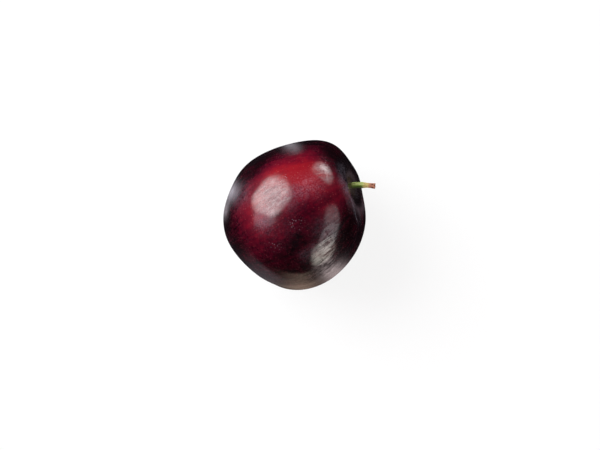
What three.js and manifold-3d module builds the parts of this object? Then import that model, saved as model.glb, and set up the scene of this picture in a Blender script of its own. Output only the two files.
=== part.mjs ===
// A ripe dark plum lying on one cheek, with its short stem.
// Millimetres, +Z up. The origin is the middle of the small flat spot that the plum rests on.
// The stem points towards +X, and the seam of the fruit runs down the side that faces -Y.

import * as THREE from "three";
import { mergeVertices } from "three/addons/utils/BufferGeometryUtils.js";
import Module from "manifold-3d";

const wasm = await Module();
wasm.setup();

const { degToRad, radToDeg, clamp } = THREE.MathUtils;

// ---------- Driving dimensions of the fruit (millimetres and degrees) ----------

const BODY_RADIUS = 26.9; // the round body, before its swells
const BODY_HEIGHT_RATIO = 1.015; // its height against its width
const REST_HEIGHT = 27.3; // from the flat spot up to the middle of the body
const BODY_MIDDLE = [0.46, 1.05, REST_HEIGHT]; // so that the flat spot lies about the origin

const CORE_AZIMUTH = 27; // the core line from blossom end to stem, turned from +X
const CORE_ELEVATION = 13; // and tilted up from the level
const SEAM_ROLL = 75; // the seam's meridian, turned about the core line from the top of the fruit

// Swells that take the body from round to plum-shaped: where each one points, how far it stands
// out at its middle, and how wide and how tall it spreads.
const SWELLS = [
  { name: "back shoulder", azimuth: 63.5, elevation: 4, height: 3.6, width: 17.5, tallness: 36 },
  { name: "stem shoulder", azimuth: 31.5, elevation: -8, height: 1.8, width: 10, tallness: 14 },
  { name: "back", azimuth: 142, elevation: 0, height: 1.2, width: 16, tallness: 32 },
  { name: "blossom end", azimuth: 192, elevation: -8, height: 3.4, width: 22, tallness: 28 },
  { name: "belly", azimuth: 263, elevation: 0, height: 4.6, width: 31.5, tallness: 38 },
];

const HOLLOW_DEPTH = 8; // the funnel that the stem grows from
const HOLLOW_SPREAD = 9.6;
const HOLLOW_ROUNDNESS = 1.7; // 2 is a bell, lower is more of a cone

const SEAM_DEPTH = 0.7; // the shallow groove along the seam
const SEAM_EXTRA_AT_HOLLOW = { at: 24, spread: 16, depth: 1.2 };
const SEAM_EXTRA_AT_BLOSSOM = { at: 152, spread: 18, depth: 0.7 };
const SEAM_HALF_WIDTH = 4;
const SEAM_EXTRA_WIDTH = { at: 25, spread: 25, width: 3 };
const SEAM_STARTS = 11; // it fades out at the middle of the hollow
const SEAM_ENDS = 16; // and over this much before the blossom end

const BLOSSOM_DIMPLE_DEPTH = 0.7;
const BLOSSOM_DIMPLE_SPREAD = 7;

// ---------- Driving dimensions of the stem ----------

const SOCKET_DEPTH = 1; // the stem's foot stands in a plain socket at the bottom of the hollow
const CLEARANCE = 0.3;
const FOOT_RADIUS = 1.5;
const STEM_STRAIGHT = 4.3; // it leaves the hollow in line with the fruit, then bends
const STEM_BEND = [25.3, 11.4, 6.3]; // from the middle of the body
const STEM_TIP = [30.3, 10.9, 6.9];
// Radius along the stem, as [share of its length, radius]: foot, collar, shaft, knot, neck, torn end.
const STEM_PROFILE = [
  [0, FOOT_RADIUS],
  [0.1, 1.25],
  [0.25, 1.1],
  [0.55, 1.15],
  [0.68, 1.05],
  [0.78, 0.82],
  [0.88, 0.86],
  [0.97, 1.12],
  [1, 1],
];

// ---------- Fineness of the facets ----------

const MERIDIANS = 72;
const RINGS = 48;
const RING_CROWDING = 1.35; // above 1, rings stand closer together towards the stem
const STEM_SIDES = 12;
const STEM_STEPS = 18;
const MERGE_DISTANCE = 0.001;

// ---------- The fruit's own axes ----------

// The unit vector that points to an azimuth and an elevation.
function pointing(azimuth, elevation) {
  const a = degToRad(azimuth);
  const e = degToRad(elevation);
  return new THREE.Vector3(Math.cos(e) * Math.cos(a), Math.cos(e) * Math.sin(a), Math.sin(e));
}

const coreAxis = pointing(CORE_AZIMUTH, CORE_ELEVATION);
const seamAxis = pointing(CORE_AZIMUTH, CORE_ELEVATION + 90).applyAxisAngle(
  coreAxis,
  degToRad(SEAM_ROLL),
);
const cheekAxis = seamAxis.clone().cross(coreAxis);

// ---------- Shape of the skin ----------

// A smooth hump of height 1 at the centre, which falls to 1/e one spread away.
function bell(value, centre, spread) {
  return Math.exp(-(((value - centre) / spread) ** 2));
}

// How deep the seam's groove is cut in a given direction, for polar degrees from the stem and the
// angle round from the seam: deepest beside the hollow and near the blossom end.
function seamCut(polar, round) {
  const hollow = SEAM_EXTRA_AT_HOLLOW;
  const blossom = SEAM_EXTRA_AT_BLOSSOM;
  const wide = SEAM_EXTRA_WIDTH;
  const depth =
    SEAM_DEPTH +
    hollow.depth * bell(polar, hollow.at, hollow.spread) +
    blossom.depth * bell(polar, blossom.at, blossom.spread);
  const fadeIn = 1 - bell(polar, 0, SEAM_STARTS);
  const fadeOut = clamp((180 - polar) / SEAM_ENDS, 0, 1);
  const seamSide = (0.5 + 0.5 * Math.cos(round)) ** 2;
  const across = BODY_RADIUS * Math.sin(degToRad(polar)) * Math.abs(Math.sin(round));
  const halfWidth = SEAM_HALF_WIDTH + wide.width * bell(polar, wide.at, wide.spread);
  return depth * fadeIn * fadeOut * seamSide * bell(across, 0, halfWidth);
}

// How far one swell lifts the skin in a unit direction: a smooth oval hump on the ball of
// directions, with its own spread sideways and upwards, which fades out towards the far side.
function swellLift(direction, { azimuth, elevation, height, width, tallness }) {
  const towards = direction.dot(pointing(azimuth, elevation));
  const sideways = direction.dot(pointing(azimuth + 90, 0));
  const upwards = direction.dot(pointing(azimuth, elevation + 90));
  const tightSideways = 1 / degToRad(width) ** 2;
  const tightUpwards = 1 / degToRad(tallness) ** 2;
  const mean = (tightSideways + tightUpwards) / 2;
  const oval = (tightSideways - tightUpwards) / 4;
  return height * Math.exp(-mean * (1 - towards) - oval * (sideways ** 2 - upwards ** 2));
}

// Distance from the middle of the body to the skin in a unit direction.
function skinRadius(direction) {
  const polar = radToDeg(direction.angleTo(coreAxis));
  const round = Math.atan2(direction.dot(cheekAxis), direction.dot(seamAxis));
  const flattened = Math.hypot(direction.x, direction.y, direction.z / BODY_HEIGHT_RATIO);
  const lift = SWELLS.reduce((sum, swell) => sum + swellLift(direction, swell), 0);
  const hollow = HOLLOW_DEPTH * Math.exp(-0.5 * (polar / HOLLOW_SPREAD) ** HOLLOW_ROUNDNESS);
  const dimple = BLOSSOM_DIMPLE_DEPTH * bell(polar, 180, BLOSSOM_DIMPLE_SPREAD);
  return BODY_RADIUS / flattened + lift - hollow - seamCut(polar, round) - dimple;
}

// A ball whose pole is turned to the stem, with each point then moved out to the skin.
function skinGeometry() {
  const geometry = new THREE.SphereGeometry(1, MERIDIANS, RINGS);
  const position = geometry.getAttribute("position");
  const point = new THREE.Vector3();
  const toFruitAxes = new THREE.Matrix4().makeBasis(seamAxis, coreAxis, cheekAxis);
  const spherical = new THREE.Spherical();
  for (let i = 0; i < position.count; i++) {
    spherical.setFromVector3(point.fromBufferAttribute(position, i));
    spherical.phi = Math.PI * (spherical.phi / Math.PI) ** RING_CROWDING;
    point.setFromSpherical(spherical).applyMatrix4(toFruitAxes);
    point.multiplyScalar(skinRadius(point));
    position.setXYZ(i, point.x, point.y, point.z);
  }
  return geometry;
}

// ---------- Solids ----------

// A closed geometry as a solid that can be cut.
function toSolid(geometry) {
  const bare = geometry.clone();
  bare.deleteAttribute("normal");
  bare.deleteAttribute("uv");
  const merged = mergeVertices(bare, MERGE_DISTANCE);
  const vertProperties = merged.getAttribute("position").array;
  const triVerts = new Uint32Array(merged.index.array);
  return new wasm.Manifold(new wasm.Mesh({ numProp: 3, vertProperties, triVerts }));
}

// A solid as a geometry that can be drawn, with flat faces.
function toGeometry(solid) {
  const { vertProperties, triVerts } = solid.getMesh();
  const indexed = new THREE.BufferGeometry();
  indexed.setAttribute("position", new THREE.BufferAttribute(vertProperties, 3));
  indexed.setIndex(new THREE.BufferAttribute(triVerts, 1));
  const geometry = indexed.toNonIndexed();
  geometry.computeVertexNormals();
  return geometry;
}

// The block below the resting height, which the flat spot is cut with.
function belowTheSurface() {
  const size = 4 * BODY_RADIUS; // wide enough to reach past the whole fruit
  return new THREE.BoxGeometry(size, size, size).translate(0, 0, -REST_HEIGHT - size / 2);
}

// A plain round hole along the core line for the stem's foot.
function socket(bottom) {
  const radius = FOOT_RADIUS + CLEARANCE;
  const length = 3 * SOCKET_DEPTH; // its upper part is in the open hollow
  const turn = new THREE.Quaternion().setFromUnitVectors(new THREE.Vector3(0, 1, 0), coreAxis);
  const middle = coreAxis.clone().multiplyScalar(bottom + length / 2);
  return new THREE.CylinderGeometry(radius, radius, length, STEM_SIDES)
    .applyQuaternion(turn)
    .translate(middle.x, middle.y, middle.z);
}

const socketBottom = skinRadius(coreAxis) - SOCKET_DEPTH;

function makeFruit() {
  const solid = toSolid(skinGeometry())
    .subtract(toSolid(belowTheSurface()))
    .subtract(toSolid(socket(socketBottom)));
  const material = new THREE.MeshStandardMaterial({ color: 0x54121f, roughness: 0.28, metalness: 0 });
  const fruit = new THREE.Mesh(toGeometry(solid), material);
  fruit.name = "fruit";
  fruit.position.set(...BODY_MIDDLE);
  return fruit;
}

// ---------- The stem ----------

// Radius of the stem at a share of its length, with straight runs between the profile's points.
function stemRadius(share) {
  const next = Math.max(1, STEM_PROFILE.findIndex(([at]) => at >= share));
  const [from, fromRadius] = STEM_PROFILE[next - 1];
  const [to, toRadius] = STEM_PROFILE[next];
  return THREE.MathUtils.mapLinear(share, from, to, fromRadius, toRadius);
}

// The middle line of the stem: out along the core line, then bent level towards +X.
function stemPath() {
  const foot = coreAxis.clone().multiplyScalar(socketBottom + CLEARANCE);
  const leaving = foot.clone().addScaledVector(coreAxis, STEM_STRAIGHT);
  const bend = new THREE.Vector3(...STEM_BEND);
  const tip = new THREE.Vector3(...STEM_TIP);
  return new THREE.CatmullRomCurve3([foot, leaving, bend, tip]);
}

// An upright cylinder, with each of its rings carried to its place along the path.
function stemGeometry() {
  const geometry = new THREE.CylinderGeometry(1, 1, 1, STEM_SIDES, STEM_STEPS);
  const position = geometry.getAttribute("position");
  const path = stemPath();
  const { normals, binormals } = path.computeFrenetFrames(STEM_STEPS, false);
  for (let i = 0; i < position.count; i++) {
    const share = position.getY(i) + 0.5;
    const step = Math.round(share * STEM_STEPS);
    const radius = stemRadius(share);
    const point = path
      .getPointAt(share)
      .addScaledVector(normals[step], radius * position.getX(i))
      .addScaledVector(binormals[step], -radius * position.getZ(i));
    position.setXYZ(i, point.x, point.y, point.z);
  }
  geometry.computeVertexNormals();
  return geometry;
}

function makeStem() {
  const material = new THREE.MeshStandardMaterial({ color: 0x8b9458, roughness: 0.7, metalness: 0 });
  const stem = new THREE.Mesh(stemGeometry(), material);
  stem.name = "stem";
  stem.position.set(...BODY_MIDDLE);
  return stem;
}

const plum = new THREE.Group();
plum.add(makeFruit());
plum.add(makeStem());

export default plum;
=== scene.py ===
"""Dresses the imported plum: its waxy skin, its short stem, and the pale table and soft lights.

Everything is in metres in the frame's own coordinates: +Z up, the origin under the plum in the
middle of the flat spot that it rests on, the stem towards +X and the seam towards -Y.
"""

import math
from collections import namedtuple

import bpy
import numpy as np
from bpy.props import FloatProperty, FloatVectorProperty, IntProperty, PointerProperty
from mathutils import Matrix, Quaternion, Vector


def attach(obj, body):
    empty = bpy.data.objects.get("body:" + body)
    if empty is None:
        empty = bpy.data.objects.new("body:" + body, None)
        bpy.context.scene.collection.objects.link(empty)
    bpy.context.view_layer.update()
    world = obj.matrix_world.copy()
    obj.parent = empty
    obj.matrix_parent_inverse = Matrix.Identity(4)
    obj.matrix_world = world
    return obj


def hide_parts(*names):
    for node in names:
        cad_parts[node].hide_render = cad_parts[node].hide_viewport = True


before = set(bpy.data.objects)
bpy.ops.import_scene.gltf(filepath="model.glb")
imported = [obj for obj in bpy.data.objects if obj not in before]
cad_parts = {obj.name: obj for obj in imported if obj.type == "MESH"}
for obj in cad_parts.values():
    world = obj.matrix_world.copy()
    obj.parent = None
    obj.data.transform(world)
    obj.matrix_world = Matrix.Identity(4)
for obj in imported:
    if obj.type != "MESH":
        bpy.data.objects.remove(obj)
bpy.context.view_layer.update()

bl_info = {
    "name": "Plum",
    "version": (1, 0, 0),
    "blender": (4, 5, 0),
    "location": "3D View > Sidebar > Plum",
    "description": "Makes a ripe dark plum with its stem, and a pale table with soft lights",
    "category": "Add Mesh",
}

MM = 0.001

# ---------- Fixed forms ----------

# From the origin to the middle of the body, sideways only: its height is a property.
MIDDLE_SIDEWAYS = (0.46 * MM, 1.05 * MM)

# Swells that take the body from round to plum-shaped: where each one points, how far it stands
# out at its middle, and how wide and how tall it spreads. Degrees and millimetres.
Swell = namedtuple("Swell", "azimuth elevation height width tallness")
SWELLS = {
    "back shoulder": Swell(63.5, 4, 3.6, 17.5, 36),
    "stem shoulder": Swell(31.5, -8, 1.8, 10, 14),
    "back": Swell(142, 0, 1.2, 16, 32),
    "blossom end": Swell(192, -8, 3.4, 22, 28),
    "belly": Swell(263, 0, 4.6, 31.5, 38),
}

# A smooth rise by an amount, about the place that it is at. These deepen and widen the groove
# along the seam, at degrees from the stem.
Rise = namedtuple("Rise", "at spread amount")
SEAM_DEEPER_AT_HOLLOW = Rise(24, 16, 1.2 * MM)
SEAM_DEEPER_AT_BLOSSOM = Rise(152, 18, 0.7 * MM)
SEAM_WIDER = Rise(25, 25, 3 * MM)
SEAM_STARTS = 11  # it fades in over about this much in the hollow
SEAM_ENDS = 16  # and out over this much before the blossom end

# Small forms about the two poles, as distances along the skin from the pole.
COLLAR_OUT, COLLAR_WIDTH = 1.75 * MM, 0.55 * MM
SCAR_RIM_HEIGHT, SCAR_RIM_WIDTH = 0.16 * MM, 0.22 * MM
SCAR_PIT_DEPTH, SCAR_PIT_WIDTH = 0.14 * MM, 0.35 * MM

# How far the looks of the seam, the stem's foot, the hollow and the scar reach: two distances,
# and shares of the hollow's spread and the scar's radius.
SEAM_LINE_HALF_WIDTH, RUSSET_REACH = 0.8 * MM, 2.6 * MM
HOLLOW_LOOK, SCAR_LOOK = 1.25, 1.5

RIPPLE_WAVES = 26
RIPPLE_LENGTHS = (0.6, 1.9)  # the shortest and the longest wave against the typical one
REST_SOFTNESS = 0.12 * MM  # how softly the flat spot's rim runs into the cheek

# The stem's middle line past its straight part, in millimetres from the middle of the body.
STEM_KNOTS = ((20, 10.5, 5.4), (25.3, 10.75, 6.4), (30.2, 10.3, 6.9))
# Waves round the stem, as how many go round and their height against the radius.
STEM_RIBS = ((3, 0.035), (5, 0.03), (9, 0.022), (14, 0.015))
STEM_FIBRES = ((2, 0.22), (3, 0.2), (5, 0.22), (8, 0.2), (13, 0.16), (21, 0.14), (30, 0.1))
STEM_RIB_TWIST = 2.5  # how far the ribs turn from end to end, in radians
STEM_WRINKLES, STEM_WRINKLE_HEIGHT = (11, 17, 26), 0.008  # how many go along the stem
STEM_WRINKLE_LEAN = 1.5  # how far they wander round it, in radians
STEM_KNOT = Rise(0.715, 0.02, 0.16)  # at and spread are shares of the length
# The torn end: where it starts as a share of the length, how far its fibres stand out, how much
# the ribs grow, and the depth that its hollow, its core and the fibres' ends are shares of.
STEM_TORN_FROM, STEM_TORN_OUT, STEM_TORN_RIBS = 0.9, 0.12, 1.5
STEM_TORN_DEPTH = 0.8 * MM
STEM_TORN_HOLLOW, STEM_TORN_CORE, STEM_TORN_ENDS = 0.55, Rise(0.75, 0.2, 0.25), 0.2

# The next tables hold round patches on the skin: the azimuth and elevation that each one's middle
# points to, its strength and its spread. This one says where the sun has flushed the skin red, and
# two of its negative patches, marked below, are painted shade.
FLUSH_AND_PAINTED_SHADE_PATCHES = {
    "blossom side": (180, 45, 0.42, 22),
    "by the stem": (65, 55, 0.52, 22),
    "crown": (144, 75, 0.44, 30),
    "top of the back": (98, 52, 0.5, 22),
    "stem shoulder": (26, 45, 0.37, 12),
    "over the hollow": (0, 65, 0.24, 13),
    "left of the back": (150, 45, 0.3, 13),
    "back": (126, 44, 0.26, 12),
    "left of the front": (226, 50, 0.26, 19),
    "front": (310, 55, 0.2, 16),
    # painted shade: darkens the back, where a neighbouring fruit would shade it
    "painted shade at the back": (138, 24, -0.4, 15),
    # painted shade: darkens the skin towards the stem, where a neighbouring fruit would shade it
    "painted shade towards the stem": (48, 25, -0.36, 17),
    "dark crown": (270, 72, -0.12, 16),
    "under the belly": (285, -28, 0.4, 24),
    "low at the back": (100, -30, 0.3, 22),
    "under the stem": (10, -40, 0.3, 20),
}

# Where the pale waxy bloom hasn't been rubbed off. Some patches, marked below, are partly painted
# light on the wax: a painted reflection down the shoulder to the stem, and painted highlight at
# the dim edges of highlights.
BLOOM_AND_PAINTED_LIGHT_PATCHES = {
    "crown": (84, 70, 0.95, 9),
    "crown towards the stem": (62, 65, 0.9, 8),
    "crown towards the blossom": (135, 76, 0.7, 8),
    # partly painted highlight: the dim part under the large highlight on the crown
    "crown towards the front": (196, 58, 0.8, 8),
    "middle of the front": (225, 69, 0.13, 13),
    "left of the back": (165, 36, 0.5, 10),
    # partly painted reflection: this and the next two pale the shoulder along a reflection
    "shoulder": (42, 29, 0.8, 6),
    "shoulder by the stem": (27, 37, 1, 7),
    "shoulder above the stem": (33, 42, 1, 4.5),
    # partly painted reflection: a pale streak below the stem
    "below the stem": (-7, 18, 0.3, 5),
    "front towards the stem": (325, 66, 0.5, 9),
    # partly painted highlight: this and the next one paint the tail of the highlight at the front
    "smudge at the front": (293, 56, 0.7, 5),
    "end of that smudge": (278, 53, 0.7, 4.5),
    "front": (300, 5, 0.3, 26),
    "back": (120, -14, 0.35, 26),
    "blossom end": (205, -12, 0.4, 20),
}

# Wax on the lip of the hollow, with a painted highlight along the lip's crest: a thin line
# through points at degrees round from the seam and degrees from the stem, and a wide band. Round
# the hollow, each fades in and out over its fades.
LIP_LINE = ((10, 25, 50, 100), (38, 35.5, 28.3, 28.3))
LIP_LINE_SPREAD = 1.5
LIP_LINE_FADES = (2, 16, 84, 112)
LIP_BAND = Rise(28.5, 4, 0.9)
LIP_BAND_FADES = (55, 75, 105, 125)

# Where hands have smeared that wax, so that the gloss is broken.
SMEAR_PATCHES = {
    "front towards the stem": (302, 38, 0.9, 22),
    "crown": (60, 75, 0.5, 20),
    "crown towards the blossom": (145, 64, 0.2, 18),
    "top of the front": (328, 57, 0.8, 14),
    "back towards the stem": (58, 52, 0.6, 12),
    "blossom end": (200, 0, 0.5, 30),
    "stem side": (0, -15, 0.5, 30),
}

# Where small dry flecks lie in clusters.
FLECK_PATCHES = {
    "crown": (255, 80, 1, 5),
    "front": (234, 56, 0.9, 4.5),
    "back": (114, 58, 1, 5),
    "back towards the stem": (62, 42, 0.9, 5),
    "low at the front": (280, 30, 0.8, 4),
    "belly": (250, -5, 0.9, 5),
    "low at the back": (95, 5, 0.9, 5),
}

# A painted reflection, which the table glows with for glossy rays only: what the gloss shows of
# the table by direction from the plum, dark, with pale sectors. A sector rises over the onset,
# goes with the distance over the unit to the power of its growth, and falls between two shares
# of its reach. Distances are in millimetres.
Sector = namedtuple("Sector", "azimuth spread growth reach tint")
FLOOR_SECTORS = {
    "left": Sector(160, 6.5, -0.2, 100, (1.6, 1.5, 1.7)),
    "left towards the front": Sector(174, 6.5, 0, 50, (1.5, 1.38, 1.52)),
    "near left": Sector(240, 18, 0.8, 130, (0.46, 0.41, 0.46)),
    "front": Sector(273, 17, 0.25, 450, (1.05, 0.74, 0.57)),
    "front towards the stem": Sector(305, 9.5, 0.34, 2000, (2.3, 1.85, 1.85)),
    "stem side": Sector(12, 6, 0.3, 400, (0.32, 0.23, 0.27)),
    "back": Sector(99.5, 4, -0.2, 120, (0.9, 0.83, 0.92)),
}
FLOOR_ELSEWHERE = (0.008, 0.007, 0.009)
FLOOR_ONSET = (25, 60)
FLOOR_FADE = (0.8, 1.5)
FLOOR_UNIT = 100
FLOOR_WHITE = (60, 220)  # to the camera it grows plain white over these distances
FLOOR_CLOUDS = 0.98  # its darker clouds, against the rest of it

# The lamps: which brightness each follows, where it stands as seen from the plum, its width and
# height in metres, its tint, the share of the way in from the rim over which it fades, its own
# part of the brightness, how far it is rolled, and its far side's brightness against the near one.
Lamp = namedtuple(
    "Lamp", "setting azimuth elevation size tint soft_edge part roll far_side",
    defaults=(1, 0, 1),
)
LAMPS = {
    "key softbox": Lamp("key_brightness", 147, 35.5, (0.57, 0.57), (0.97, 1, 1), 0.55, roll=-6),
    "side panel": Lamp("side_brightness", 182, 35, (0.26, 0.36), (1, 0.86, 0.95), 0.6),
    "low strip": Lamp("strip_brightness", 57, 20.5, (0.46, 0.27), (1, 0.99, 0.99), 0.8),
    "strip middle": Lamp("strip_brightness", 57, 18, (0.22, 0.13), (1, 0.99, 0.97), 0.98, 1.5),
    "warm panel": Lamp("warm_brightness", -23, 29, (0.66, 0.3), (1, 0.93, 0.96), 0.6,
                       roll=18, far_side=0.5),
    "warm corner": Lamp("warm_brightness", -51, 15, (0.35, 0.36), (1, 0.93, 0.83), 0.9,
                        part=1.75, roll=-16),
}
LAMP_DISTANCE = 0.5
DARK_IN_REFLECTIONS = (0.01, 0.01, 0.012)
CAMERA_SIDEWAYS = (0.84 * MM, -4.08 * MM)
SENSOR_WIDTH = 36
CLIP_START = 0.01

# Small marks on skin and stem: the smallest against the largest, and a mark's solid middle.
SMALLEST_MARK = 0.45
MARK_CORE = 0.45

# ---------- Fineness of the meshes ----------

FRUIT_ROWS = 240
FRUIT_COLUMNS = 352
ROWS_TO_POLES = 0.62  # 0 is even rows, near 1 crowds them at the stem and the blossom end
COLUMNS_TO_SEAM = 0.5
STEM_ROWS = 220
STEM_FOOT_ROWS = 6
STEM_END_ROWS = 26
STEM_COLUMNS = 96
STEM_PATH_POINTS = 400
STEPS_BETWEEN_KNOTS = 200
FLOOR_ROWS = 80
FLOOR_COLUMNS = 240
FLOOR_RADIUS = 4


# ---------- What a user would change ----------


def number(name, description, default, **more):
    """A property that is a plain number."""
    return FloatProperty(name=name, description=description, default=default, **more)


def length(name, description, millimetres):
    """A property in metres, given in millimetres."""
    return number(name, description, millimetres * MM, min=0, precision=5,
                  unit="LENGTH", subtype="DISTANCE")


def angle(name, description, degrees):
    """A property in radians, given in degrees."""
    return number(name, description, math.radians(degrees), unit="ROTATION", subtype="ANGLE")


def share(name, description, default):
    """A property from 0 to 1."""
    return number(name, description, default, min=0, max=1, subtype="FACTOR")


def colour(name, description, red, green, blue):
    """A linear colour."""
    return FloatVectorProperty(
        name=name, description=description, default=(red, green, blue), size=3,
        min=0, max=1, subtype="COLOR",
    )


class PlumFruitShape(bpy.types.PropertyGroup):
    """Sizes of the fruit."""

    body_radius: length("Body radius", "Radius of the round body before its swells", 26.9)
    height_ratio: number("Height ratio", "Height of the body against its width", 1.015,
                         min=0.5, max=1.5)
    rest_height: length("Rest height", "From the flat spot to the middle of the body", 27.3)
    core_azimuth: angle("Core azimuth", "The core line, turned from +X towards +Y", 27)
    core_elevation: angle("Core elevation", "The core line, tilted up from the level", 13)
    seam_roll: angle("Seam roll", "The seam, turned about the core line from the top", 75)
    hollow_depth: length("Hollow depth", "Depth of the hollow that the stem grows from", 8)
    hollow_spread: angle("Hollow spread", "How wide the hollow opens", 9.6)
    hollow_roundness: number("Hollow roundness", "2 is a bell, lower is more of a cone", 1.7,
                             min=1, max=3)
    seam_depth: length("Seam depth", "Depth of the shallow groove along the seam", 0.7)
    seam_half_width: length("Seam half width", "Half the width of that groove", 4)
    crease_depth: length("Crease depth", "Depth of the fine line within the groove", 0.07)
    crease_half_width: length("Crease half width", "Half the width of that line", 0.6)
    dimple_depth: length("Dimple depth", "Depth of the dimple at the blossom end", 0.7)
    dimple_spread: angle("Dimple spread", "How wide that dimple opens", 7)
    scar_radius: length("Scar radius", "Radius of the dry scar in that dimple", 0.55)
    ripple_slope: angle("Ripple slope", "How far the skin's soft dents and waves tilt it", 0.9)
    ripple_length: length("Ripple length", "Typical length of those waves", 10)
    collar_height: length("Collar height", "Rim of flesh round the foot of the stem", 0.4)
    seed: IntProperty(name="Seed", description="Picks another set of waves", default=7, min=0)


class PlumSkinFinish(bpy.types.PropertyGroup):
    """Colours and gloss of the skin."""

    night: colour("Darkest", "Purple-black of the shaded side", 0.003, 0.0001, 0.0008)
    maroon: colour("Maroon", "Between the darkest and the crimson", 0.033, 0.0003, 0.0045)
    crimson: colour("Crimson", "The ripe red of the upper side", 0.092, 0.0008, 0.0075)
    scarlet: colour("Scarlet", "The brightest red of the sunny arc", 0.168, 0.0035, 0.008)
    lenticel: colour("Lenticels", "Fine pale dots all over the skin", 0.34, 0.09, 0.08)
    scuff: colour("Scuffs", "Small dry flecks", 0.3, 0.22, 0.26)
    bloom: colour("Bloom", "The thin blue-grey wax", 0.16, 0.15, 0.19)
    russet: colour("Russet", "Dry brown skin round the stem", 0.13, 0.085, 0.04)
    scar: colour("Scar", "The dry scar at the blossom end", 0.13, 0.075, 0.04)
    bloom_amount: share("Bloom amount", "How much of the wax is left", 0.32)
    roughness: share("Roughness", "Gloss of the rubbed skin, 0 is a mirror", 0.33)


class PlumStemShape(bpy.types.PropertyGroup):
    """Sizes and colours of the stem."""

    socket_depth: length("Socket depth", "How deep its foot stands in the fruit", 1)
    clearance: length("Clearance", "Gap under its foot", 0.3)
    straight: length("Straight part", "How far it runs in line with the core", 1.6)
    foot_radius: length("Foot radius", "Radius where it grows from the fruit", 1.5)
    shaft_radius: length("Shaft radius", "Radius of its green shaft", 1.12)
    neck_radius: length("Neck radius", "Radius behind the torn end", 0.95)
    green: colour("Green", "The fresh shaft", 0.13, 0.2, 0.03)
    # painted light: the pale green of the shaft's top and +Y side, towards the large softbox
    pale: colour("Pale green", "Along the upper ribs of the shaft", 0.42, 0.48, 0.15)
    # painted shade: the dark green of the shaft's -Y side, away from the large softbox
    shade: colour("Dark green", "The underside of the shaft", 0.03, 0.05, 0.008)
    tan: colour("Tan", "The dry part before the torn end", 0.44, 0.34, 0.12)
    torn: colour("Torn end", "Bare fibres at the end", 0.34, 0.13, 0.08)
    brown: colour("Brown", "Dry spots, and the bottom of the torn end", 0.06, 0.018, 0.008)
    # painted shade: the olive brown of the stem's foot, where it stands in the hollow
    foot: colour("Foot", "Olive brown in the hollow", 0.05, 0.04, 0.018)
    seed: IntProperty(name="Seed", description="Picks another torn end", default=11, min=0)


class PlumStudio(bpy.types.PropertyGroup):
    """The camera, the lights and the floor."""

    camera_height: length("Camera height", "From the floor up to the camera", 694.3)
    lens: number("Lens", "Focal length in millimetres on a 36 mm sensor", 100, min=1)
    key_brightness: number("Key brightness", "How bright the large softbox looks", 7.5, min=0)
    side_brightness: number("Side brightness", "How bright the panel by it looks", 1.95, min=0)
    strip_brightness: number("Strip brightness", "How bright the low strip looks", 3.6, min=0)
    warm_brightness: number("Warm brightness", "How bright the warm panel looks", 2.6, min=0)
    ambient: number("Ambient", "Light from all round, on matt surfaces", 0.1, min=0)
    floor: colour("Floor", "The pale table", 0.8, 0.8, 0.81)
    floor_glow: share("Floor glow", "How much the table round the plum looks lit from below", 0.82)
    backdrop: colour("Backdrop", "What stands behind the table", 1, 1, 1)


# ---------- Small sums ----------


def pointing(azimuth, elevation):
    """The unit vector that points to an azimuth and an elevation, in radians."""
    level = math.cos(elevation)
    return np.array((level * math.cos(azimuth), level * math.sin(azimuth), math.sin(elevation)))


def bell(value, centre, spread):
    """A smooth hump, 1 high at the centre: exp(-((value - centre) / spread) squared)."""
    return np.exp(-(((value - centre) / spread) ** 2))


def rise(form, value):
    """A form's share of a shape: its amount times a bell about where it is at."""
    return form.amount * bell(value, form.at, form.spread)


def smooth_step(value, low, high):
    """0 below low, 1 above high, and 3 t t - 2 t t t between them."""
    t = np.clip((value - low) / (high - low), 0, 1)
    return t * t * (3 - 2 * t)


def window(value, fades):
    """Rises from 0 to 1 between the first two of four values, and falls between the last two."""
    return smooth_step(value, *fades[:2]) * (1 - smooth_step(value, *fades[2:]))


def turns(count):
    """Angles at even steps round, 2 pi k / count, as one row."""
    return 2 * np.pi * np.arange(count)[None, :] / count


def turned(turn, first, second):
    """What points the first way, turned towards the second: first cos(turn) + second sin(turn)."""
    return np.cos(turn)[..., None] * first + np.sin(turn)[..., None] * second


def interpolated(wanted, at, path):
    """Points of a path at the wanted places, from the places that its own points are at."""
    return np.stack([np.interp(wanted, at, axis) for axis in path.T], axis=-1)


def unit(vectors):
    """Vectors along the last axis, each brought to length 1."""
    return vectors / np.linalg.norm(vectors, axis=-1, keepdims=True)


def body_middle(shape):
    """The middle of the round body."""
    return np.array((*MIDDLE_SIDEWAYS, shape.rest_height))


def fruit_axes(shape):
    """The core line towards the stem, the side with the seam, and the cheek at right angles."""
    core = pointing(shape.core_azimuth, shape.core_elevation)
    top = pointing(shape.core_azimuth, shape.core_elevation + math.pi / 2)
    seam = top * math.cos(shape.seam_roll) + np.cross(core, top) * math.sin(shape.seam_roll)
    return core, seam, np.cross(seam, core)


# ---------- Meshes ----------


def collapse(grid):
    """Rows by columns as one list, with the first and the last row as one point each."""
    inner = grid[1:-1].reshape(-1, *grid.shape[2:])
    return np.concatenate((grid[:1, 0], inner, grid[-1:, 0]))


def rings(first, rows, columns):
    """Point numbers in rings from a first one on, the next ones round, and the faces between."""
    ring = first + np.arange(rows)[:, None] * columns + np.arange(columns)[None, :]
    following = np.roll(ring, -1, axis=1)
    faces = np.stack((ring[:-1], following[:-1], following[1:], ring[1:]), axis=-1)
    return ring, following, faces


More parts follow.
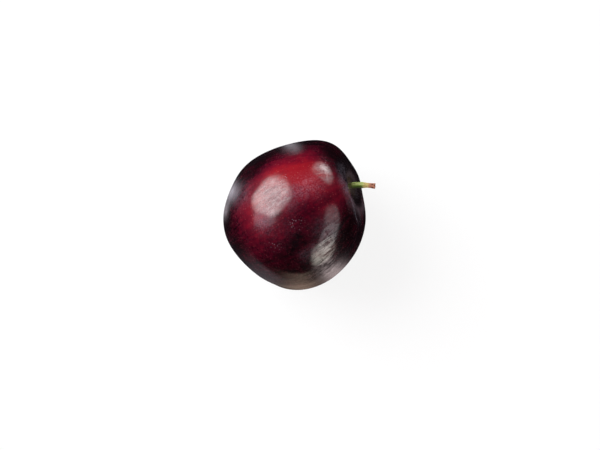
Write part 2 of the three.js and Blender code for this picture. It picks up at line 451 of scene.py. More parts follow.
def closed_mesh(name, grid, values):
    """A closed mesh from a grid of points whose columns join round and whose end rows are poles.

    Columns run anticlockwise as seen from the first pole's outside, so faces point outwards.
    values holds an array over the same grid for each attribute, of numbers or of vectors.
    """
    rows, columns = grid.shape[:2]
    points = collapse(grid)
    last = len(points) - 1
    ring, following, quads = rings(1, rows - 2, columns)
    first_fan = np.stack((np.zeros(columns, int), following[0], ring[0]), axis=-1)
    last_fan = np.stack((ring[-1], following[-1], np.full(columns, last)), axis=-1)
    faces = quads.reshape(-1, 4).tolist() + first_fan.tolist() + last_fan.tolist()
    mesh = bpy.data.meshes.new(name)
    mesh.from_pydata(points, [], faces)
    mesh.shade_smooth()
    if mesh.validate():
        raise RuntimeError(f"the mesh of {name} had faults")
    put_values(mesh, {attribute: collapse(held) for attribute, held in values.items()})
    return mesh


def put_values(mesh, values):
    """Gives each point of a mesh its attributes, from a list of numbers or of vectors each."""
    for attribute, held in values.items():
        kind, field = ("FLOAT", "value") if held.ndim == 1 else ("FLOAT_VECTOR", "vector")
        layer = mesh.attributes.new(attribute, kind, "POINT")
        layer.data.foreach_set(field, held.astype(np.float32).ravel())


def place(mesh, material):
    """An object for a mesh, at the origin, with its material."""
    piece = bpy.data.objects.new(mesh.name, mesh)
    mesh.materials.append(material)
    bpy.context.scene.collection.objects.link(piece)
    return piece


# ---------- The fruit ----------


def fruit_directions(axes):
    """Directions over the whole ball, in rows from the stem's pole to the blossom's.

    For u and v from 0 to 1: polar = pi u - k sin(2 pi u) / 2, which crowds rows at both poles,
    and round = 2 pi v - q sin(2 pi v), which crowds columns at the seam. The direction is
    core cos(polar) + (seam cos(round) + cheek sin(round)) sin(polar).
    """
    core, seam, cheek = axes
    u = np.linspace(0, 1, FRUIT_ROWS + 1)[:, None]
    turn = turns(FRUIT_COLUMNS)
    polar = np.pi * u - ROWS_TO_POLES * np.sin(2 * np.pi * u) / 2
    round_ = turn - COLUMNS_TO_SEAM * np.sin(turn)
    polar, round_ = np.broadcast_arrays(polar, round_)
    return turned(polar, core, turned(round_, seam, cheek)), polar, round_


def seam_share(polar, round_):
    """How much of the seam is left: it fades out in the hollow and before the blossom end.

    (1 - bell(polar, 0, start)) * clamp((180 - polar) / end) * (0.5 + 0.5 cos(round)) squared.
    """
    degrees = np.degrees(polar)
    fade_in = 1 - bell(degrees, 0, SEAM_STARTS)
    fade_out = np.clip((180 - degrees) / SEAM_ENDS, 0, 1)
    return fade_in * fade_out * (0.5 + 0.5 * np.cos(round_)) ** 2


def from_stem(shape, polar):
    """Distance along the bottom of the hollow from the core line: polar * its radius there."""
    return polar * (shape.body_radius - shape.hollow_depth)


def from_blossom(shape, polar):
    """Distance along the skin from the blossom's pole: (pi - polar) * radius."""
    return (np.pi - polar) * shape.body_radius


def beside_seam(shape, polar, round_):
    """Distance along the skin from the seam's line: radius * sin(polar) * |sin(round)|."""
    return shape.body_radius * np.sin(polar) * np.abs(np.sin(round_))


def seam_cut(shape, polar, round_):
    """Depth of the seam's groove: its depth along the line times a bell across it."""
    degrees = np.degrees(polar)
    depth = shape.seam_depth + rise(SEAM_DEEPER_AT_HOLLOW, degrees)
    depth = depth + rise(SEAM_DEEPER_AT_BLOSSOM, degrees)
    half_width = shape.seam_half_width + rise(SEAM_WIDER, degrees)
    across = beside_seam(shape, polar, round_)
    return depth * seam_share(polar, round_) * bell(across, 0, half_width)


def swell_lift(directions, swell):
    """How far one swell lifts the skin: an oval hump on the ball of directions.

    height * exp(-mean (1 - towards) - oval (sideways squared - upwards squared)), with mean and
    oval from the tightness 1 / spread squared each way.
    """
    azimuth, elevation = math.radians(swell.azimuth), math.radians(swell.elevation)
    towards = directions @ pointing(azimuth, elevation)
    sideways = directions @ pointing(azimuth + math.pi / 2, 0)
    upwards = directions @ pointing(azimuth, elevation + math.pi / 2)
    tight_sideways = 1 / math.radians(swell.width) ** 2
    tight_upwards = 1 / math.radians(swell.tallness) ** 2
    mean = (tight_sideways + tight_upwards) / 2
    oval = (tight_sideways - tight_upwards) / 4
    hump = np.exp(-mean * (1 - towards) - oval * (sideways**2 - upwards**2))
    return swell.height * MM * hump


def main_radius(shape, directions, polar, round_):
    """Distance from the middle of the body to the skin, as the CAD solid has it.

    The radius of an ellipsoid, plus the swells, less the hollow
    depth * exp(-0.5 (polar / spread) ^ roundness), the seam's groove and the blossom's dimple.
    """
    stretch = np.array((1, 1, 1 / shape.height_ratio))
    radius = shape.body_radius / np.linalg.norm(directions * stretch, axis=-1)
    for swell in SWELLS.values():
        radius = radius + swell_lift(directions, swell)
    opening = (polar / shape.hollow_spread) ** shape.hollow_roundness
    radius = radius - shape.hollow_depth * np.exp(-0.5 * opening)
    radius = radius - seam_cut(shape, polar, round_)
    return radius - shape.dimple_depth * bell(polar, np.pi, shape.dimple_spread)


def ripples(shape, directions):
    """Soft dents and waves: the sum of sines of (2 pi place . heading / length + phase).

    Each wave has its own random heading, length and phase, and a height that gives all of them
    the same slope, so that together they tilt the skin by about the ripple slope.
    """
    random = np.random.default_rng(shape.seed)
    headings = unit(random.normal(size=(RIPPLE_WAVES, 3)))
    lengths = shape.ripple_length * random.uniform(*RIPPLE_LENGTHS, RIPPLE_WAVES)
    phases = random.uniform(0, 2 * np.pi, RIPPLE_WAVES)
    slope = math.tan(shape.ripple_slope) / math.sqrt(RIPPLE_WAVES / 2)
    heights = slope * lengths / (2 * np.pi)
    along = directions * shape.body_radius @ headings.T
    return np.sin(2 * np.pi * along / lengths + phases) @ heights


def fine_forms(shape, directions, polar, round_):
    """What the finished skin has on top of the main radius: ripples, crease, collar and scar."""
    line = bell(beside_seam(shape, polar, round_), 0, shape.crease_half_width)
    crease = shape.crease_depth * seam_share(polar, round_) * line
    collar = shape.collar_height * bell(from_stem(shape, polar), COLLAR_OUT, COLLAR_WIDTH)
    away = from_blossom(shape, polar)
    scar = SCAR_RIM_HEIGHT * bell(away, shape.scar_radius, SCAR_RIM_WIDTH)
    scar = scar - SCAR_PIT_DEPTH * bell(away, 0, SCAR_PIT_WIDTH)
    return ripples(shape, directions) - crease + collar + scar


def settle(points):
    """Presses what would be under the table flat: z becomes (z + sqrt(z z + k k)) / 2."""
    height = points[..., 2]
    points[..., 2] = (height + np.sqrt(height**2 + REST_SOFTNESS**2)) / 2
    return points


def patches(directions, spots):
    """The sum of round spots: strength * exp(-(angle from its middle / spread) squared).

    It is held between 0 and 1.
    """
    total = np.zeros(directions.shape[:-1])
    for azimuth, elevation, strength, spread in spots.values():
        middle = pointing(math.radians(azimuth), math.radians(elevation))
        away = np.arccos(np.clip(directions @ middle, -1, 1))
        total = total + strength * bell(away, 0, math.radians(spread))
    return np.clip(total, 0, 1)


def lip_wax(polar, round_):
    """Wax on the lip of the hollow, above the stem.

    It is a thin line, which bends outwards towards the seam, and a wider and weaker band: wax,
    with a painted highlight along the lip's crest. Each is a bell across, times a window round
    the hollow.
    """
    away, turn = np.degrees(polar), np.degrees(round_)
    line = bell(away, np.interp(turn, *LIP_LINE), LIP_LINE_SPREAD) * window(turn, LIP_LINE_FADES)
    return line + rise(LIP_BAND, away) * window(turn, LIP_BAND_FADES)


def fruit_mesh(shape):
    """The whole skin as one closed surface, with the values that its material reads.

    A point is middle + direction * (main radius + fine forms), pressed flat where it rests.
    """
    axes = fruit_axes(shape)
    directions, polar, round_ = fruit_directions(axes)
    radius = main_radius(shape, directions, polar, round_)
    radius = radius + fine_forms(shape, directions, polar, round_)
    points = settle(body_middle(shape) + directions * radius[..., None])
    line = bell(beside_seam(shape, polar, round_), 0, SEAM_LINE_HALF_WIDTH)
    values = {
        "flush": patches(directions, FLUSH_AND_PAINTED_SHADE_PATCHES),
        # the bloom also carries painted reflection and highlight, from some patches and from the
        # lip
        "bloom": patches(directions, BLOOM_AND_PAINTED_LIGHT_PATCHES) + lip_wax(polar, round_),
        "smeared": patches(directions, SMEAR_PATCHES),
        "flecked": patches(directions, FLECK_PATCHES),
        "hollow": np.exp(-0.5 * (polar / (HOLLOW_LOOK * shape.hollow_spread)) ** 3),
        "foot": bell(from_stem(shape, polar), 0, RUSSET_REACH),
        "seam": line * seam_share(polar, round_),
        "scar": bell(from_blossom(shape, polar), 0, SCAR_LOOK * shape.scar_radius),
        "meridian": np.stack((np.cos(round_), np.sin(round_), polar / np.pi), axis=-1),
    }
    return closed_mesh("plum_fruit", points, values)


# ---------- The stem ----------


def curve_through(knots, count):
    """Points at even steps along a smooth curve through the knots.

    Between two knots it is a cubic whose end slopes come from the knots on both sides, weighed by
    the square root of their distances (a centripetal Catmull-Rom spline).
    """
    knots = np.concatenate((2 * knots[:1] - knots[1:2], knots, 2 * knots[-1:] - knots[-2:-1]))
    gaps = np.sqrt(np.linalg.norm(np.diff(knots, axis=0), axis=1))[:, None]
    steps = np.diff(knots, axis=0) / gaps
    wide = (knots[2:] - knots[:-2]) / (gaps[1:] + gaps[:-1])
    slopes = steps[:-1] - wide + steps[1:]
    start, end, gap = knots[1:-2], knots[2:-1], gaps[1:-1]
    leaving, arriving = slopes[:-1] * gap, slopes[1:] * gap
    t = np.linspace(0, 1, STEPS_BETWEEN_KNOTS)[:, None, None]
    path = (
        start
        + leaving * t
        + (3 * (end - start) - 2 * leaving - arriving) * t**2
        + (2 * (start - end) + leaving + arriving) * t**3
    )
    path = path.transpose(1, 0, 2).reshape(-1, 3)
    travelled = np.concatenate(((0,), np.cumsum(np.linalg.norm(np.diff(path, axis=0), axis=1))))
    even = np.linspace(0, travelled[-1], count)
    return interpolated(even, travelled, path)


def stem_path(fruit, stem, count):
    """The middle line of the stem: out along the core line, then bent level towards +X."""
    core = fruit_axes(fruit)[0]
    pole = (core[None, :], np.zeros(1), np.zeros(1))
    bottom = main_radius(fruit, *pole)[0] - stem.socket_depth
    foot = core * (bottom + stem.clearance)
    knots = np.stack((foot, foot + core * stem.straight, *(np.array(STEM_KNOTS) * MM)))
    return curve_through(knots, count) + body_middle(fruit)


def stem_radius(stem, along):
    """Radius at a share of the stem's length: foot, collar, shaft, knot, neck and torn end."""
    foot, shaft, neck = stem.foot_radius, stem.shaft_radius, stem.neck_radius
    profile = (
        (0, foot), (0.1, 0.83 * foot), (0.25, shaft), (0.5, 1.04 * shaft), (0.66, 1.08 * shaft),
        (0.7, 0.92 * shaft), (0.76, neck), (0.86, neck), (0.95, 1.06 * neck), (1, 0.96 * neck),
    )
    return np.interp(along, *zip(*profile))


def stem_mesh(fruit, stem):
    """A ribbed tube carried along the stem's path, with a torn end, closed at both poles.

    Row u runs from the middle of the foot, out to its rim, along the tube to share 1, and back in
    over the torn end. A point is path(share) + radius * (upwards cos(turn) + sideways sin(turn)),
    and at the torn end it is pushed along the path too. The radius is the profile's, times 1 plus
    the ribs, wrinkles and fibres, which are sums of waves round and along the stem, and the knot.
    """
    random = np.random.default_rng(stem.seed)
    side_rows = STEM_ROWS - STEM_FOOT_ROWS - STEM_END_ROWS
    turn = turns(STEM_COLUMNS)
    along = np.concatenate((
        np.zeros(STEM_FOOT_ROWS), np.linspace(0, 1, side_rows), np.ones(STEM_END_ROWS),
    ))[:, None]
    reach = np.concatenate((
        np.linspace(0, 1, STEM_FOOT_ROWS, endpoint=False), np.ones(side_rows),
        np.linspace(1, 0, STEM_END_ROWS + 1)[1:],
    ))[:, None]

    phases = random.uniform(0, 2 * np.pi, len(STEM_RIBS))
    ribs = sum(
        height * np.cos(number * turn + phase + STEM_RIB_TWIST * along)
        for (number, height), phase in zip(STEM_RIBS, phases)
    )
    phases, leans = random.uniform(0, 2 * np.pi, (2, len(STEM_WRINKLES)))
    wrinkles = sum(
        STEM_WRINKLE_HEIGHT * np.sin(
            2 * np.pi * (number * along) + phase + STEM_WRINKLE_LEAN * np.cos(turn + lean)
        )
        for number, phase, lean in zip(STEM_WRINKLES, phases, leans)
    )
    knot = rise(STEM_KNOT, along) * (0.6 + 0.4 * np.cos(turn - 0.7))
    phases = random.uniform(0, 2 * np.pi, len(STEM_FIBRES))
    fibres = sum(
        height * np.cos(number * turn + phase)
        for (number, height), phase in zip(STEM_FIBRES, phases)
    )
    end = smooth_step(along, STEM_TORN_FROM, 1)
    ribs = ribs * (1 + STEM_TORN_RIBS * end)
    radius = stem_radius(stem, along) * (1 + ribs + wrinkles + knot)
    radius = radius * (1 + STEM_TORN_OUT * end * fibres) * reach

    path = stem_path(fruit, stem, STEM_PATH_POINTS)
    shares = np.linspace(0, 1, STEM_PATH_POINTS)
    middle = interpolated(along[:, 0], shares, path)
    headings = unit(np.gradient(path, axis=0))
    heading = unit(interpolated(along[:, 0], shares, headings))
    upwards = unit(np.array((0, 0, 1)) - heading * heading[:, 2:3])
    sideways = np.cross(heading, upwards)
    outwards = turned(turn, upwards[:, None], sideways[:, None])
    inside = 1 - reach
    pit = (rise(STEM_TORN_CORE, inside) - STEM_TORN_HOLLOW * smooth_step(inside, 0, 0.6)) * end
    rough = STEM_TORN_ENDS * fibres * reach**0.5 * end
    push = (pit + rough) * STEM_TORN_DEPTH
    points = middle[:, None] + radius[..., None] * outwards + push[..., None] * heading[:, None]

    grid = np.ones_like(radius)
    values = {
        "along": along * grid,
        "torn": np.clip(inside * 2, 0, 1) * end * grid,
        "fibre": np.stack((np.cos(turn) * grid, np.sin(turn) * grid, along * grid), axis=-1),
    }
    return closed_mesh("plum_stem", points[:, ::-1], {k: v[:, ::-1] for k, v in values.items()})


# ---------- Material nodes ----------


class Net:
    """A node tree that is being wired. A method adds nodes and gives back what they put out."""

    def __init__(self, tree):
        self.tree = tree

    def put(self, socket, value):
        """Joins a socket to another one, or sets it to a plain value."""
        if isinstance(value, bpy.types.NodeSocket):
            self.tree.links.new(value, socket)
        elif socket.type == "RGBA" and len(value) == 3:
            socket.default_value = (*value, 1)
        else:
            socket.default_value = value

    def node(self, kind, values=(), **settings):
        """Adds a node with its settings, and its input values by name or number."""
        node = self.tree.nodes.new(kind)
        for name, setting in settings.items():
            setattr(node, name, setting)
        for key, value in dict(values).items():
            self.put(node.inputs[key], value)
        return node

    def out(self, kind, values=(), output=0, **settings):
        """Adds a node in the same way, and gives back one of its outputs."""
        return self.node(kind, values, **settings).outputs[output]

    def sum(self, operation, first, second=0, third=0):
        """One sum of numbers."""
        inputs = {0: first, 1: second, 2: third}
        return self.out("ShaderNodeMath", inputs, operation=operation)

    def times(self, first, second):
        """first * second."""
        return self.sum("MULTIPLY", first, second)

    def plus(self, value, more, times):
        """value + more * times."""
        return self.sum("MULTIPLY_ADD", more, times, value)

    def swayed(self, value, noise, amount):
        """A value taken up and down by a noise: value + (noise - 0.5) * amount."""
        return self.plus(value, self.sum("SUBTRACT", noise, 0.5), amount)

    def held(self, value):
        """A value held between 0 and 1."""
        return self.out("ShaderNodeClamp", {0: value})

    def remap(self, value, low, high, to_low=0, to_high=1, smooth=True):
        """Takes low..high to to_low..to_high and holds it there."""
        kind = "SMOOTHSTEP" if smooth else "LINEAR"
        inputs = {0: value, 1: low, 2: high, 3: to_low, 4: to_high}
        return self.out("ShaderNodeMapRange", inputs, interpolation_type=kind)

    def mix(self, amount, first, second, blend="MIX"):
        """Two colours mixed by an amount from 0 to 1."""
        inputs = {0: amount, 6: first, 7: second}
        return self.out("ShaderNodeMix", inputs, 2, data_type="RGBA", blend_type=blend)

    def noise(self, vector, scale, detail=2, roughness=0.5, distortion=0):
        """Cloudy noise about 0.5."""
        inputs = {"Vector": vector, "Scale": scale, "Detail": detail, "Roughness": roughness,
                  "Distortion": distortion}
        return self.out("ShaderNodeTexNoise", inputs)

    def scaled(self, vector, scale, offset=(0, 0, 0)):
        """A vector with each of its parts scaled and moved."""
        inputs = {"Vector": vector, "Location": offset, "Scale": scale}
        return self.out("ShaderNodeMapping", inputs)

    def millimetres(self):
        """Object coordinates in millimetres."""
        place = self.out("ShaderNodeTexCoord", output="Object")
        return self.scaled(place, (1 / MM, 1 / MM, 1 / MM))

    def attribute(self, name, output="Fac"):
        """A value that the mesh carries."""
        return self.out("ShaderNodeAttribute", output=output, attribute_name=name)

    def bumped(self, height):
        """A normal that follows a height in millimetres."""
        inputs = {"Strength": 1, "Distance": MM, "Height": height}
        return self.out("ShaderNodeBump", inputs)

    def group(self, make, **values):
        """A node group with its input values by name. The first call for a group makes it."""
        tree = bpy.data.node_groups.get(make.__name__) or make()
        inputs = {key.replace("_", " ").capitalize(): value for key, value in values.items()}
        return self.out("ShaderNodeGroup", inputs, node_tree=tree)


def new_group(name, numbers):
    """An empty node group that makes a mask from a vector and numbers, and what it is given."""
    tree = bpy.data.node_groups.new(name, "ShaderNodeTree")
    sockets = tree.interface
    sockets.new_socket("Vector", in_out="INPUT", socket_type="NodeSocketVector")
    for number, default in numbers.items():
        socket = sockets.new_socket(number, in_out="INPUT", socket_type="NodeSocketFloat")
        socket.default_value = default
    sockets.new_socket("Mask", in_out="OUTPUT", socket_type="NodeSocketFloat")
    net = Net(tree)
    return net, net.node("NodeGroupInput").outputs


def speckles():
    """Makes a group of small round marks, of random sizes up to the greatest one.

    It is 1 where the nearest random point is within its mark, and a share of the marks is kept.
    """
    net, given = new_group("speckles", {"Per millimetre": 1, "Size": 0.2, "Share": 1})
    inputs = {"Vector": given["Vector"], "Scale": given["Per millimetre"]}
    cells = net.node("ShaderNodeTexVoronoi", inputs, feature="F1").outputs
    chance = net.node("ShaderNodeSeparateColor", {0: cells["Color"]}).outputs
    part = net.remap(chance[0], 0, 1, SMALLEST_MARK, 1, smooth=False)
    size = net.times(given["Size"], part)
    mark = net.remap(cells["Distance"], size, net.times(size, MARK_CORE))
    kept = net.sum("LESS_THAN", chance[1], given["Share"])
    net.node("NodeGroupOutput", {0: net.times(mark, kept)})
    return net.tree


def mottle():
    """Makes a group of clouds of two sizes, mixed, with more contrast, held between 0 and 1."""
    inputs = {"Broad": 0.1, "Fine": 0.6, "Fine share": 0.4, "Contrast": 2}
    net, given = new_group("mottle", inputs)
    broad = net.noise(given["Vector"], given["Broad"], 3, 0.55, 0.6)
    fine = net.noise(given["Vector"], given["Fine"], 4, 0.6)
    both = net.plus(broad, net.sum("SUBTRACT", fine, broad), given["Fine share"])
    net.node("NodeGroupOutput", {0: net.held(net.swayed(0.5, both, given["Contrast"]))})
    return net.tree


def new_material(name):
    """An empty material and its net."""
    material = bpy.data.materials.new(name)
    material.use_nodes = True
    material.node_tree.nodes.clear()
    return material, Net(material.node_tree)


def skin_material(finish):
    """Waxy skin: dark purple to scarlet, with streaks, dots, scuffs, bloom, russet and scar."""
    material, net = new_material("waxy plum skin")
    place = net.millimetres()
    meridian = net.attribute("meridian", "Vector")
    names = "flush bloom smeared flecked hollow foot seam scar".split()
    flush, bloom, smeared, flecked, hollow, foot, seam, scar = map(net.attribute, names)

    clouds = net.group(mottle, vector=place, broad=0.09, fine=0.6, contrast=2.4)
    streaks = net.noise(net.scaled(meridian, (15, 15, 2.2)), 1, 3, 0.6, 0.4)
    grain = net.group(mottle, vector=place, broad=0.4, fine=1.2, fine_share=0.55, contrast=2.6)

    # Redness from 0, purple-black, to 1, scarlet. Some of the patches it starts from are painted
    # shade.
    redness = net.swayed(flush, clouds, 0.42)
    redness = net.swayed(redness, streaks, 0.46)
    redness = net.swayed(redness, grain, 0.13)
    redness = net.sum("SUBTRACT", redness, net.times(hollow, 0.8))
    ramp = net.node("ShaderNodeValToRGB", {0: redness})
    stops = {0: finish.night, 0.3: finish.maroon, 0.62: finish.crimson, 0.95: finish.scarlet}
    while len(ramp.color_ramp.elements) < len(stops):
        ramp.color_ramp.elements.new(1)
    for element, (position, tint) in zip(ramp.color_ramp.elements, stops.items()):
        element.position = position
        element.color = (*tint, 1)
    base = ramp.outputs[0]

    # Fine pale dots everywhere, plainer on the red side, and a few scuffs in clusters.
    dots = net.group(speckles, vector=place, per_millimetre=0.95, size=0.28, share=0.85)
    dots_shown = net.remap(redness, 0, 0.9, 0.05, 0.36, smooth=False)
    base = net.mix(net.times(dots, dots_shown), base, finish.lenticel)
    flecks = net.group(speckles, vector=place, per_millimetre=1.45, size=0.42, share=0.75)
    base = net.mix(net.times(net.times(flecks, flecked), 0.45), base, finish.scuff)

    # Bloom lies thickest in the hollow and in its patches, and is rubbed thin elsewhere. Some of
    # those patches, and the lip, are painted reflection and highlight put in as bloom.
    rubbed = net.group(mottle, vector=place, broad=0.12, fine=0.8, fine_share=0.45, contrast=3.2)
    wax = net.plus(net.sum("ADD", bloom, 0.015), hollow, 0.5)
    wax = net.times(wax, net.remap(rubbed, 0, 1, 0.25, 1))
    dusty = net.remap(net.noise(place, 1.7, 3, 0.65), 0.4, 0.62, 0.3, 1.25)
    wax = net.held(net.times(wax, dusty))
    base = net.mix(net.times(wax, finish.bloom_amount), base, finish.bloom, "ADD")

    # The seam's dark line, russet round the stem's foot, and the dry scar.
    base = net.mix(net.times(seam, 0.45), base, finish.night)
    rust = net.times(foot, net.remap(grain, 0.1, 0.8, 0.35, 1))
    base = net.mix(net.times(rust, 0.75), base, finish.russet)
    scar = net.swayed(scar, grain, net.times(scar, 0.9))
    base = net.mix(net.remap(scar, 0.25, 0.8), base, finish.scar)

    rough = net.remap(wax, 0, 1, finish.roughness, finish.roughness + 0.24, smooth=False)
    rough = net.swayed(rough, grain, 0.07)
    rough = net.sum("ADD", rough, net.times(net.sum("MAXIMUM", rust, scar), 0.3))

    # The gloss is thin on wax and russet, and broken in marbled and wiped marks.
    coat = net.remap(net.sum("MAXIMUM", wax, rust), 0.1, 0.8, 1, 0.2)
    marbled = net.noise(place, 0.34, 3, 0.55, 2)
    wiped = net.noise(net.scaled(meridian, (15, 15, 9)), 1, 2, 0.5, 1.6)
    smears = net.sum("ADD", net.remap(marbled, 0.44, 0.56, 0, 0.4),
                     net.remap(wiped, 0.45, 0.56, 0, 0.6))
    broken = net.times(smears, net.remap(smeared, 0, 1, 0.25, 0.9, smooth=False))
    coat = net.times(coat, net.sum("SUBTRACT", 1, broken))

    height = net.times(dots, 0.006)
    height = net.plus(height, grain, 0.004)
    height = net.plus(height, streaks, 0.02)
    height = net.plus(height, marbled, 0.11)
    height = net.plus(height, net.times(rust, grain), 0.1)

    shader = net.out("ShaderNodeBsdfPrincipled", {
        "Base Color": base, "Roughness": rough, "Specular IOR Level": 0.03, "Coat Weight": coat,
        "Coat Roughness": 0.12, "Coat IOR": 1.5, "Normal": net.bumped(height),
    })
    net.node("ShaderNodeOutputMaterial", {0: shader})
    return material


def stem_material(stem):
    """Fresh green shaft with pale ribs, dry tan neck with brown spots, and bare torn fibres."""
    material, net = new_material("plum stem")
    place = net.millimetres()
    fibre = net.attribute("fibre", "Vector")
    along, torn = net.attribute("along"), net.attribute("torn")

    lines = net.noise(net.scaled(fibre, (3.2, 3.2, 5)), 1, 3, 0.6, 0.2)
    clouds = net.group(mottle, vector=place, broad=0.7, fine=3.5, fine_share=0.5, contrast=2.4)
    wavering = net.swayed(net.swayed(along, clouds, 0.05), lines, 0.16)

    # Painted light and shade: the shaft is dark green on its -Y side, away from the large softbox,
    # and pale along the ribs of its top and its +Y side, which face it.
    across = net.node("ShaderNodeSeparateXYZ", {0: fibre}).outputs
    # upper is the mask of that painted light and shade: high on the +Y side, low on the -Y side
    upper = net.plus(net.times(across[0], 0.15), across[1], -1)
    upper = net.swayed(upper, lines, 0.9)
    base = net.mix(net.remap(upper, -0.1, -0.7), stem.green, stem.shade)
    base = net.mix(net.remap(upper, -0.1, 0.3), base, stem.pale)
    base = net.mix(net.remap(upper, 0.5, 1, 0, 0.6), base, stem.green)

    # Along it: olive brown at the foot, which is painted shade where it stands in the hollow, then
    # green, tan from the knot on, and bare fibres.
    base = net.mix(net.remap(wavering, 0.63, 0.73), base, stem.tan)
    base = net.mix(net.remap(wavering, 0.78, 0.86), base, stem.torn)
    spots = net.group(speckles, vector=place, per_millimetre=0.95, size=0.5, share=0.75)
    dry = net.remap(wavering, 0.66, 0.76, 0.08, 1)
    base = net.mix(net.times(spots, dry), base, stem.brown)
    bottom = net.times(torn, net.remap(lines, 0.3, 0.7, 0.95, 0.3))
    base = net.mix(bottom, base, stem.brown)
    # painted shade on the foot, down in the hollow
    foot = net.remap(wavering, 0.42, 0.31)
    base = net.mix(net.times(foot, 0.85), base, stem.foot)

    rough = net.remap(wavering, 0.6, 0.8, 0.33, 0.85)
    height = net.times(lines, 0.09)
    height = net.plus(height, clouds, 0.04)
    height = net.plus(height, spots, -0.05)
    shader = net.out("ShaderNodeBsdfPrincipled", {
        "Base Color": base, "Roughness": rough, "IOR": 1.45, "Normal": net.bumped(height),
    })
    net.node("ShaderNodeOutputMaterial", {0: shader})
    return material


# ---------- The studio ----------


def floor_mesh():
    """A wide round table top: radius = reach * share squared, all at height 0.

    Its mirrored colour is the sum over the sectors of tint * exp(-(angle off / spread) squared) *
    (distance / 100 mm) ^ growth, which rises over the onset and falls over the fade.
    """
    rows, columns = FLOOR_ROWS, FLOOR_COLUMNS
    away = (FLOOR_RADIUS * np.linspace(0, 1, rows) ** 2)[:, None]
    turn = turns(columns)
    points = np.stack((away * np.cos(turn), away * np.sin(turn), np.zeros_like(away * turn)), -1)
    ring, _, quads = rings(0, rows, columns)
    hub = [ring[1].tolist()]
    quads = np.roll(quads[1:, :, ::-1], 1, axis=-1)  # turned over, to face up
    mesh = bpy.data.meshes.new("floor")
    mesh.from_pydata(points.reshape(-1, 3), [], hub + quads.reshape(-1, 4).tolist())

    mirrored = np.zeros((rows, columns, 3)) + FLOOR_ELSEWHERE
    for sector in FLOOR_SECTORS.values():
        off = (np.degrees(turn) - sector.azimuth + 180) % 360 - 180
        far = np.minimum(away / MM, 2 * sector.reach)
        shown = window(far, (*FLOOR_ONSET, *(part * sector.reach for part in FLOOR_FADE)))
        shown = shown * (np.maximum(far, FLOOR_ONSET[0]) / FLOOR_UNIT) ** sector.growth
        mirrored = mirrored + (shown * bell(off, 0, sector.spread))[..., None] * sector.tint
    put_values(mesh, {"mirrored": mirrored.reshape(-1, 3)})
    return mesh


def floor_material(studio):
    """A pale matt table with the faintest cloudiness, lit from below for the camera.

    Round the plum it is lit less, which leaves a soft shadow, and further off it is plain white.
    Glossy rays see its mirrored colour in place of the lit table: a painted reflection that glows.
    """
    material, net = new_material("pale table")
    place = net.millimetres()
    clouds = net.group(mottle, vector=place, broad=0.01, fine=0.2, contrast=1)
    darker = tuple(FLOOR_CLOUDS * part for part in studio.floor)
    base = net.mix(clouds, studio.floor, darker)
    table = net.out("ShaderNodeBsdfPrincipled", {"Base Color": base, "Roughness": 0.7})
    glow = net.out("ShaderNodeEmission", {"Color": (1, 1, 1), "Strength": 1})
    mirrored = net.out("ShaderNodeEmission", {0: net.attribute("mirrored", "Color")})
    path = net.node("ShaderNodeLightPath").outputs
    away = net.out("ShaderNodeVectorMath", {0: place}, 1, operation="LENGTH")
    glowing = net.remap(away, *FLOOR_WHITE, studio.floor_glow, 1)
    glowing = net.times(path["Is Camera Ray"], glowing)
    seen = table
    for amount, other in ((glowing, glow), (path["Is Glossy Ray"], mirrored)):
        seen = net.out("ShaderNodeMixShader", {0: amount, 1: seen, 2: other})
    net.node("ShaderNodeOutputMaterial", {0: seen})
    return material


def softbox(name, lamp, brightness, aim):
    """A lamp with rounded corners and soft edges, turned to the plum.

    A lamp of this kind looks power / (4 * area) bright, so that sets its power. Its brightness
    runs evenly across to far_side times as bright, and fades to nothing over soft_edge of the
    way from its rim in, where |x| cubed + |y| cubed is 1 on the rim.
    """
    width, height = lamp.size
    light = bpy.data.lights.new(name, "AREA")
    light.shape = "RECTANGLE"
    light.size, light.size_y = width, height
    light.energy = 4 * width * height * brightness
    light.color = lamp.tint
    light.use_nodes = True
    light.node_tree.nodes.clear()
    net = Net(light.node_tree)
    across = net.out("ShaderNodeNewGeometry", output="Parametric")
    sides = net.node("ShaderNodeSeparateXYZ", {0: across}).outputs
    rim = 0
    for side in (sides[0], sides[1]):
        off = net.sum("ABSOLUTE", net.plus(-1, side, 2))
        rim = net.sum("ADD", net.sum("POWER", off, 3), rim)
    face = net.remap(rim, 1, (1 - lamp.soft_edge) ** 3)
    slope = net.remap(sides[0], 0, 1, 1, lamp.far_side, smooth=False)
    emission = net.out("ShaderNodeEmission", {"Strength": net.times(face, slope)})
    net.node("ShaderNodeOutputLight", {0: emission})

    away = Vector(pointing(math.radians(lamp.azimuth), math.radians(lamp.elevation)))
    facing = away.to_track_quat("Z", "Y")
    box = bpy.data.objects.new(name, light)
    box.location = aim + away * LAMP_DISTANCE
    box.rotation_mode = "QUATERNION"
    box.rotation_quaternion = facing @ Quaternion((0, 0, 1), math.radians(lamp.roll))
    box.visible_camera = False
    bpy.context.scene.collection.objects.link(box)


def surroundings(studio):
    """What is behind the table: pale to look at, dark in reflections, soft on matt surfaces."""
    world = bpy.data.worlds.new("studio")
    world.use_nodes = True
    world.node_tree.nodes.clear()
    net = Net(world.node_tree)
    path = net.node("ShaderNodeLightPath").outputs
    seen = net.mix(path["Is Glossy Ray"], (studio.ambient,) * 3, DARK_IN_REFLECTIONS)
    seen = net.mix(path["Is Camera Ray"], seen, studio.backdrop)
    net.node("ShaderNodeOutputWorld", {0: net.out("ShaderNodeBackground", {"Color": seen})})
    bpy.context.scene.world = world


# ---------- Operators ----------


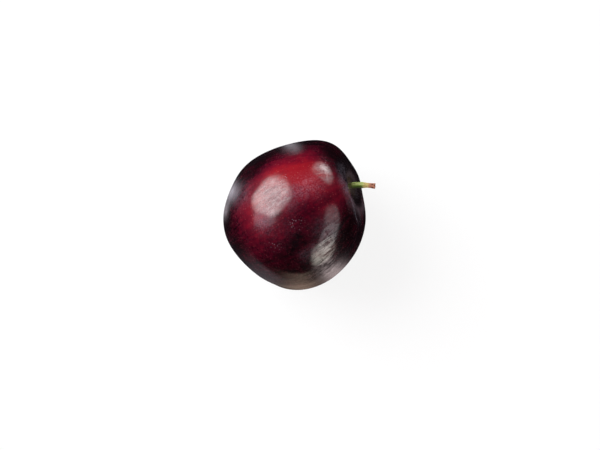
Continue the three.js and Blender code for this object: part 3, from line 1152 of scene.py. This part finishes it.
class PLUM_OT_make_fruit(bpy.types.Operator):
    """Makes the whole fruit with its waxy skin, in place of the plain solid"""

    bl_idname = "plum.make_fruit"
    bl_label = "Make the fruit"
    bl_options = {"REGISTER", "UNDO"}

    def execute(self, context):
        scene = context.scene
        fruit = place(fruit_mesh(scene.plum_fruit), skin_material(scene.plum_skin))
        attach(fruit, "root")
        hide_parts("fruit")
        return {"FINISHED"}


class PLUM_OT_make_stem(bpy.types.Operator):
    """Makes the short stem with its torn end, in place of the plain solid"""

    bl_idname = "plum.make_stem"
    bl_label = "Make the stem"
    bl_options = {"REGISTER", "UNDO"}

    def execute(self, context):
        scene = context.scene
        mesh = stem_mesh(scene.plum_fruit, scene.plum_stem)
        stem = place(mesh, stem_material(scene.plum_stem))
        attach(stem, "root")
        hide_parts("stem")
        return {"FINISHED"}


class PLUM_OT_make_studio(bpy.types.Operator):
    """Makes the pale table, the soft lights and the camera that looks straight down"""

    bl_idname = "plum.make_studio"
    bl_label = "Make the studio"
    bl_options = {"REGISTER", "UNDO"}

    def execute(self, context):
        scene = context.scene
        studio = scene.plum_studio
        floor = place(floor_mesh(), floor_material(studio))
        aim = Vector(body_middle(scene.plum_fruit))
        for name, lamp in LAMPS.items():
            softbox(name, lamp, lamp.part * getattr(studio, lamp.setting), aim)
        surroundings(studio)

        lens = bpy.data.cameras.new("camera")
        lens.lens = studio.lens
        lens.sensor_width = SENSOR_WIDTH
        lens.clip_start = CLIP_START
        camera = bpy.data.objects.new("camera", lens)
        camera.location = (*CAMERA_SIDEWAYS, studio.camera_height)
        scene.collection.objects.link(camera)
        scene.camera = camera
        scene.view_settings.view_transform = "Standard"
        return {"FINISHED"}


class PLUM_PT_panel(bpy.types.Panel):
    """Lists the plum's sizes and colours, and makes its pieces"""

    bl_label = "Plum"
    bl_idname = "PLUM_PT_panel"
    bl_space_type = "VIEW_3D"
    bl_region_type = "UI"
    bl_category = "Plum"

    def draw(self, context):
        for name, (_, operator) in GROUPS.items():
            settings = getattr(context.scene, name)
            box = self.layout.box()
            for field in type(settings).__annotations__:
                box.prop(settings, field)
            if operator:
                box.operator(operator)


# Each group of settings, and the operator whose button stands under it.
GROUPS = {
    "plum_fruit": (PlumFruitShape, None),
    "plum_skin": (PlumSkinFinish, "plum.make_fruit"),
    "plum_stem": (PlumStemShape, "plum.make_stem"),
    "plum_studio": (PlumStudio, "plum.make_studio"),
}
CLASSES = (
    *(group for group, _ in GROUPS.values()),
    PLUM_OT_make_fruit, PLUM_OT_make_stem, PLUM_OT_make_studio, PLUM_PT_panel,
)


def register():
    for cls in CLASSES:
        bpy.utils.register_class(cls)
    for name, (group, _) in GROUPS.items():
        setattr(bpy.types.Scene, name, PointerProperty(type=group))


def unregister():
    for name in GROUPS:
        delattr(bpy.types.Scene, name)
    for cls in reversed(CLASSES):
        bpy.utils.unregister_class(cls)


def main():
    """Makes the pieces in order."""
    register()
    bpy.ops.plum.make_fruit()
    bpy.ops.plum.make_stem()
    bpy.ops.plum.make_studio()


if __name__ == "__main__":
    main()
